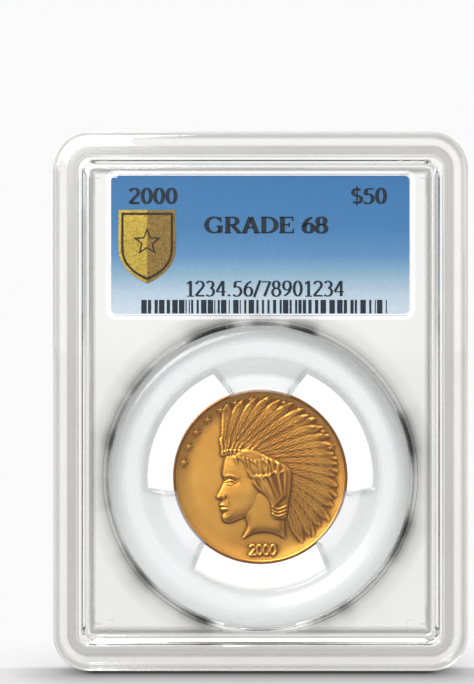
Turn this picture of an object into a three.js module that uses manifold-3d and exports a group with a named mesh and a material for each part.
// Graded coin slab: a coin held by three prongs in a clear round insert, with a printed label above it,
// sealed between two clear moulded shells.
//
// Millimetres, +Z up. The slab stands on its bottom edge and its front faces -Y.
// The origin is the middle of the bottom edge, at half the slab's thickness.

import * as THREE from "three";
import { mergeVertices } from "three/addons/utils/BufferGeometryUtils.js";
import Module from "manifold-3d";

const wasm = await Module();
wasm.setup();

// ---------------------------------------------------------------------------
// Driving dimensions
// ---------------------------------------------------------------------------

const SLAB = { width: 63.5, height: 82.6, thickness: 8, corner: 5.6 };
const FRONT = -SLAB.thickness / 2;
const BACK = SLAB.thickness / 2;
const EDGE_ROUND = 0.8; // radius along the outer edges
const SMALLEST_CORNER = 1.6; // corner radius of the inner outlines

// The rim stands proud at the front and a platform stands proud at the back, so that slabs stack.
const RIM = { width: 4.5, slope: 0.8, depth: 0.9 };
const PLATFORM = { height: 0.8, clearance: 0.3 };

// The shells meet on the plane y = 0, where a welded tongue and groove runs round the wall.
const HALF_SEAM = 0.05;
const WALL = 5.9;
const TONGUE = { inset: 2.3, width: 1.2, height: 1.2 };
const GROOVE_CLEARANCE = 0.2;

// The two window panes leave this space between them.
const FRONT_FLOOR = -1.7;
const BACK_FLOOR = 2.3;
const FUSE = 0.1; // how far a rib is sunk into the pane that it stands on

const COIN = { radius: 13.46, thickness: 2.05, rimWidth: 0.6, rimHeight: 0.28, edgeRound: 0.12 };
const COIN_CENTRE_Z = 29.6;
const COIN_CENTRE_Y = 0.3;

const WELL = { radius: 23.6, rib: 0.8 };
const INSERT = {
  radius: 23.3,
  front: -1.6,
  back: 2.2,
  flangeRadius: 20.4, // the thick outer flange ends here
  webStep: 0.4, // the web is this much thinner than the flange on each side
  windowRadius: 17.4,
  bevel: 0.35,
};
const PRONG = {
  angles: [90, 210, 330],
  halfAngle: 24.5, // at the windows' outer radius
  flare: 11, // how much further than radial each flank opens outwards
  lip: 0.4, // how far the lips reach over the coin's rim
  lipThickness: 0.5,
  grip: 0.05, // clearance round the coin's rim
};

const LABEL = { width: 45.9, height: 21.3, thickness: 0.3, corner: 0.8, front: -1.5, centreZ: 65.3 };
const LABEL_POCKET = { clearance: 0.2, rib: 0.7 };
const RETAINER = { inset: 0.3, rib: 0.9, gap: 0.05 };
const FOIL = { thickness: 0.08, gap: 0.02 };
const SEAL = { width: 8.8, height: 11.3, x: -17.4, z: 65 };
const HOLOGRAM = { width: 16, height: 9, corner: 1.5, z: 65.3 };

// Small blocks that register the shells to each other in the corners.
const LUG = { width: 1.1, height: 2.8, wallGap: 0.2, x: 25.85, bottomZ: 6.9, topZ: 72.9 };
const STOP = { width: 1, height: 1.7, x: 23.1 };

const CORNER_STEPS = 8;
const BEVEL_STEPS = 3;
const TURN_STEPS = 120;
const LARGE = 200;

// ---------------------------------------------------------------------------
// Outlines, in the plane of the slab: x across, y of the shape is the part's z
// ---------------------------------------------------------------------------

function roundedRectangle(width, height, radius, centreZ) {
  const corners = [
    [1, 1],
    [-1, 1],
    [-1, -1],
    [1, -1],
  ];
  const points = corners.flatMap(([sideX, sideZ], quarter) =>
    Array.from({ length: CORNER_STEPS + 1 }, (_, step) => {
      const angle = (quarter + step / CORNER_STEPS) * (Math.PI / 2);
      const x = sideX * (width / 2 - radius) + radius * Math.cos(angle);
      const z = centreZ + sideZ * (height / 2 - radius) + radius * Math.sin(angle);
      return new THREE.Vector2(x, z);
    }),
  );
  return new THREE.Shape(points);
}

// The slab's own outline, moved inwards.
function outline(inset) {
  const radius = Math.max(SLAB.corner - inset, SMALLEST_CORNER);
  return roundedRectangle(
    SLAB.width - 2 * inset,
    SLAB.height - 2 * inset,
    radius,
    SLAB.height / 2,
  );
}

// The label's outline, grown outwards.
function labelOutline(growth) {
  return roundedRectangle(
    LABEL.width + 2 * growth,
    LABEL.height + 2 * growth,
    Math.max(LABEL.corner + growth, 0.3),
    LABEL.centreZ,
  );
}

// A plain shield with a flat top and a rounded point below.
function shieldOutline(width, height, centreX, centreZ) {
  const [left, right] = [centreX - width / 2, centreX + width / 2];
  const [top, bottom] = [centreZ + height / 2, centreZ - height / 2];
  const shoulder = centreZ - height * 0.02;
  const shape = new THREE.Shape();
  shape.moveTo(left, top);
  shape.lineTo(left, shoulder);
  shape.quadraticCurveTo(left, centreZ - height * 0.32, centreX, bottom);
  shape.quadraticCurveTo(right, centreZ - height * 0.32, right, shoulder);
  shape.lineTo(right, top);
  shape.closePath();
  return shape;
}

// ---------------------------------------------------------------------------
// Solids
// ---------------------------------------------------------------------------

// A closed three.js geometry as a solid that can be joined and cut.
function solid(geometry) {
  const bare = geometry.index ? geometry.toNonIndexed() : geometry.clone();
  bare.deleteAttribute("normal");
  bare.deleteAttribute("uv");
  const merged = mergeVertices(bare, 1e-4);
  return new wasm.Manifold(
    new wasm.Mesh({
      numProp: 3,
      vertProperties: merged.attributes.position.array,
      triVerts: new Uint32Array(merged.index.array),
    }),
  );
}

// An outline carried along Y, from front to back. A bevel narrows both ends back to the outline given,
// and the middle is wider than it by the bevel's size.
function prism(shape, front, back, bevel = { size: 0, depth: 0, steps: 0 }) {
  const geometry = new THREE.ExtrudeGeometry(shape, {
    depth: back - front - 2 * bevel.depth,
    curveSegments: CORNER_STEPS,
    bevelEnabled: bevel.size > 0,
    bevelSize: bevel.size,
    bevelThickness: bevel.depth,
    bevelSegments: bevel.steps,
  });
  geometry.rotateX(Math.PI / 2);
  geometry.translate(0, back - bevel.depth, 0);
  return solid(geometry);
}

// A wall of even thickness between two outlines.
function band(outer, inner, front, back) {
  return prism(outer, front, back).subtract(prism(inner, front - 1, back + 1));
}

function block(x0, x1, y0, y1, z0, z1) {
  const geometry = new THREE.BoxGeometry(x1 - x0, y1 - y0, z1 - z0);
  geometry.translate((x0 + x1) / 2, (y0 + y1) / 2, (z0 + z1) / 2);
  return solid(geometry);
}

// A profile of [radius, y] points turned about the coin's axis, which runs along Y.
function turned(profile) {
  const points = [...profile, profile[0]].map(([radius, y]) => new THREE.Vector2(radius, y));
  const geometry = new THREE.LatheGeometry(points, TURN_STEPS);
  geometry.translate(0, 0, COIN_CENTRE_Z);
  return solid(geometry);
}

function ring(inner, outer, front, back) {
  return turned([
    [inner, front],
    [outer, front],
    [outer, back],
    [inner, back],
  ]);
}

function sideOf(y, sign) {
  const [y0, y1] = sign < 0 ? [y - LARGE, y] : [y, y + LARGE];
  return block(-LARGE, LARGE, y0, y1, -LARGE, LARGE);
}

// ---------------------------------------------------------------------------
// The two shells
// ---------------------------------------------------------------------------

function roundedSlab(front, back) {
  const bevel = { size: EDGE_ROUND, depth: EDGE_ROUND, steps: BEVEL_STEPS };
  return prism(outline(EDGE_ROUND), front, back, bevel);
}

function frontShell() {
  const outside = roundedSlab(FRONT, BACK).intersect(sideOf(-HALF_SEAM, -1));
  const window = FRONT + RIM.depth;
  const recess = prism(outline(RIM.width + RIM.slope), window - 4, window, {
    size: RIM.slope,
    depth: RIM.depth,
    steps: 1,
  });
  const cavity = prism(outline(WALL), FRONT_FLOOR, 1);
  const groove = band(
    outline(TONGUE.inset - GROOVE_CLEARANCE),
    outline(TONGUE.inset + TONGUE.width + GROOVE_CLEARANCE),
    -TONGUE.height - GROOVE_CLEARANCE,
    1,
  );
  const ribFoot = FRONT_FLOOR - FUSE;
  const wellRib = ring(WELL.radius, WELL.radius + WELL.rib, ribFoot, -HALF_SEAM);
  const labelRib = band(
    labelOutline(LABEL_POCKET.clearance + LABEL_POCKET.rib),
    labelOutline(LABEL_POCKET.clearance),
    ribFoot,
    -HALF_SEAM,
  );
  const stops = [-1, 1].map((side) =>
    block(
      side * STOP.x - STOP.width / 2,
      side * STOP.x + STOP.width / 2,
      ribFoot,
      -HALF_SEAM,
      WALL - FUSE,
      WALL + STOP.height,
    ),
  );
  const tray = outside.subtract(recess).subtract(cavity).subtract(groove);
  return [wellRib, labelRib, ...stops].reduce((body, piece) => body.add(piece), tray);
}

function backShell() {
  const ledge = BACK - PLATFORM.height;
  const outside = roundedSlab(FRONT, ledge).intersect(sideOf(HALF_SEAM, 1));
  const platform = prism(
    outline(RIM.width + RIM.slope + PLATFORM.clearance),
    0,
    BACK,
    { size: RIM.slope, depth: PLATFORM.height, steps: 1 },
  ).intersect(sideOf(ledge - FUSE, 1));
  const cavity = prism(outline(WALL), -1, BACK_FLOOR);
  const tongue = band(
    outline(TONGUE.inset),
    outline(TONGUE.inset + TONGUE.width),
    -TONGUE.height,
    HALF_SEAM + FUSE,
  );
  const ribFoot = BACK_FLOOR + FUSE;
  const wellRib = ring(WELL.radius, WELL.radius + WELL.rib, HALF_SEAM, ribFoot);
  const retainer = band(
    labelOutline(-RETAINER.inset),
    labelOutline(-RETAINER.inset - RETAINER.rib),
    LABEL.front + LABEL.thickness + RETAINER.gap,
    ribFoot,
  );
  const lugOuter = LUG.x - LUG.wallGap;
  const lugs = [LUG.bottomZ, LUG.topZ].flatMap((z) =>
    [-1, 1].map((side) => {
      const [x0, x1] = [side * lugOuter, side * (lugOuter - LUG.width)].sort((a, b) => a - b);
      return block(x0, x1, FRONT_FLOOR + FUSE, ribFoot, z, z + LUG.height);
    }),
  );
  const tray = outside.add(platform).subtract(cavity);
  return [tongue, wellRib, retainer, ...lugs].reduce((body, piece) => body.add(piece), tray);
}

// ---------------------------------------------------------------------------
// The round insert and the coin
// ---------------------------------------------------------------------------

// One window of the insert, between two prongs. Its flanks open outwards past the radial direction.
function windowCut(fromAngle, toAngle) {
  const reach = INSERT.windowRadius;
  const flare = THREE.MathUtils.degToRad(PRONG.flare);
  const [start, end] = [fromAngle, toAngle].map(THREE.MathUtils.degToRad);
  const inner = COIN.radius - PRONG.lip - 1;
  // On each flank the inner end turns towards the prong's middle, by the flare.
  const turn = Math.asin(((reach - inner) * Math.sin(flare)) / inner);
  const shape = new THREE.Shape();
  shape.absarc(0, COIN_CENTRE_Z, reach, start, end);
  shape.lineTo(inner * Math.cos(end + turn), COIN_CENTRE_Z + inner * Math.sin(end + turn));
  shape.lineTo(0, COIN_CENTRE_Z);
  shape.lineTo(inner * Math.cos(start - turn), COIN_CENTRE_Z + inner * Math.sin(start - turn));
  shape.closePath();
  const geometry = new THREE.ExtrudeGeometry(shape, {
    depth: SLAB.thickness,
    curveSegments: 4 * CORNER_STEPS,
    bevelEnabled: false,
  });
  geometry.rotateX(Math.PI / 2);
  geometry.translate(0, SLAB.thickness / 2, 0);
  return solid(geometry);
}

function coinInsert() {
  const { radius, front, back, flangeRadius, webStep, bevel } = INSERT;
  const webFront = front + webStep;
  const webBack = back - webStep;
  const grooveHalf = COIN.thickness / 2 + PRONG.grip;
  const grooveRadius = COIN.radius + PRONG.grip;
  const lipRadius = COIN.radius - PRONG.lip;
  const lipFront = COIN_CENTRE_Y - grooveHalf - PRONG.lipThickness;
  const lipBack = COIN_CENTRE_Y + grooveHalf + PRONG.lipThickness;
  const whole = turned([
    [lipRadius, lipFront],
    [INSERT.windowRadius - 1.5, webFront],
    [flangeRadius, webFront],
    [flangeRadius + webStep, front],
    [radius - bevel, front],
    [radius, front + bevel],
    [radius, back - bevel],
    [radius - bevel, back],
    [flangeRadius + webStep, back],
    [flangeRadius, webBack],
    [INSERT.windowRadius - 1.5, webBack],
    [lipRadius, lipBack],
    [lipRadius, COIN_CENTRE_Y + grooveHalf],
    [grooveRadius, COIN_CENTRE_Y + grooveHalf],
    [grooveRadius, COIN_CENTRE_Y - grooveHalf],
    [lipRadius, COIN_CENTRE_Y - grooveHalf],
  ]);
  return PRONG.angles.reduce((body, angle, i) => {
    const next = PRONG.angles[(i + 1) % PRONG.angles.length];
    const to = next > angle ? next : next + 360;
    return body.subtract(windowCut(angle + PRONG.halfAngle, to - PRONG.halfAngle));
  }, whole);
}

function coin() {
  const { radius, thickness, rimWidth, rimHeight, edgeRound } = COIN;
  const [front, back] = [COIN_CENTRE_Y - thickness / 2, COIN_CENTRE_Y + thickness / 2];
  const fieldRadius = radius - rimWidth;
  const half = [
    [0, front + rimHeight],
    [fieldRadius - 0.2, front + rimHeight],
    [fieldRadius, front],
    [radius - edgeRound, front],
    [radius, front + edgeRound],
  ];
  const mirrored = half.map(([r, y]) => [r, front + back - y]).reverse();
  return turned([...half, ...mirrored]);
}

// ---------------------------------------------------------------------------
// The label and its foils
// ---------------------------------------------------------------------------

function labelCard() {
  return prism(labelOutline(0), LABEL.front, LABEL.front + LABEL.thickness);
}

function securitySeal() {
  const back = LABEL.front - FOIL.gap;
  return prism(shieldOutline(SEAL.width, SEAL.height, SEAL.x, SEAL.z), back - FOIL.thickness, back);
}

function hologramFoil() {
  const front = LABEL.front + LABEL.thickness + FOIL.gap;
  const shape = roundedRectangle(HOLOGRAM.width, HOLOGRAM.height, HOLOGRAM.corner, HOLOGRAM.z);
  return prism(shape, front, front + FOIL.thickness);
}

// ---------------------------------------------------------------------------
// The assembly
// ---------------------------------------------------------------------------

function material(color, roughness, metalness, opacity = 1) {
  return new THREE.MeshStandardMaterial({
    color,
    roughness,
    metalness,
    opacity,
    transparent: opacity < 1,
  });
}

const CLEAR_SHELL = material("#e6e7e2", 0.06, 0, 0.35);
const CLEAR_INSERT = material("#e9eaee", 0.12, 0, 0.45);
const GOLD = material("#c8913f", 0.3, 1);
const LABEL_PAPER = material("#5d95c8", 0.65, 0);
const GOLD_FOIL = material("#c9a53a", 0.35, 0.9);
const SILVER_FOIL = material("#c9ccd2", 0.2, 1);

// A solid as a named mesh.
function part(name, made, look) {
  const { numProp, vertProperties, triVerts } = made.getMesh();
  const count = vertProperties.length / numProp;
  const positions = new Float32Array(count * 3);
  for (let i = 0; i < count; i++) {
    positions.set(vertProperties.subarray(i * numProp, i * numProp + 3), i * 3);
  }
  const geometry = new THREE.BufferGeometry();
  geometry.setAttribute("position", new THREE.BufferAttribute(positions, 3));
  geometry.setIndex(new THREE.BufferAttribute(triVerts, 1));
  geometry.computeVertexNormals();
  const mesh = new THREE.Mesh(geometry, look);
  mesh.name = name;
  return mesh;
}

const slab = new THREE.Group();
slab.add(
  part("front_shell", frontShell(), CLEAR_SHELL),
  part("back_shell", backShell(), CLEAR_SHELL),
  part("coin_insert", coinInsert(), CLEAR_INSERT),
  part("coin", coin(), GOLD),
  part("label_card", labelCard(), LABEL_PAPER),
  part("security_seal", securitySeal(), GOLD_FOIL),
  part("hologram_foil", hologramFoil(), SILVER_FOIL),
);

export default slab;
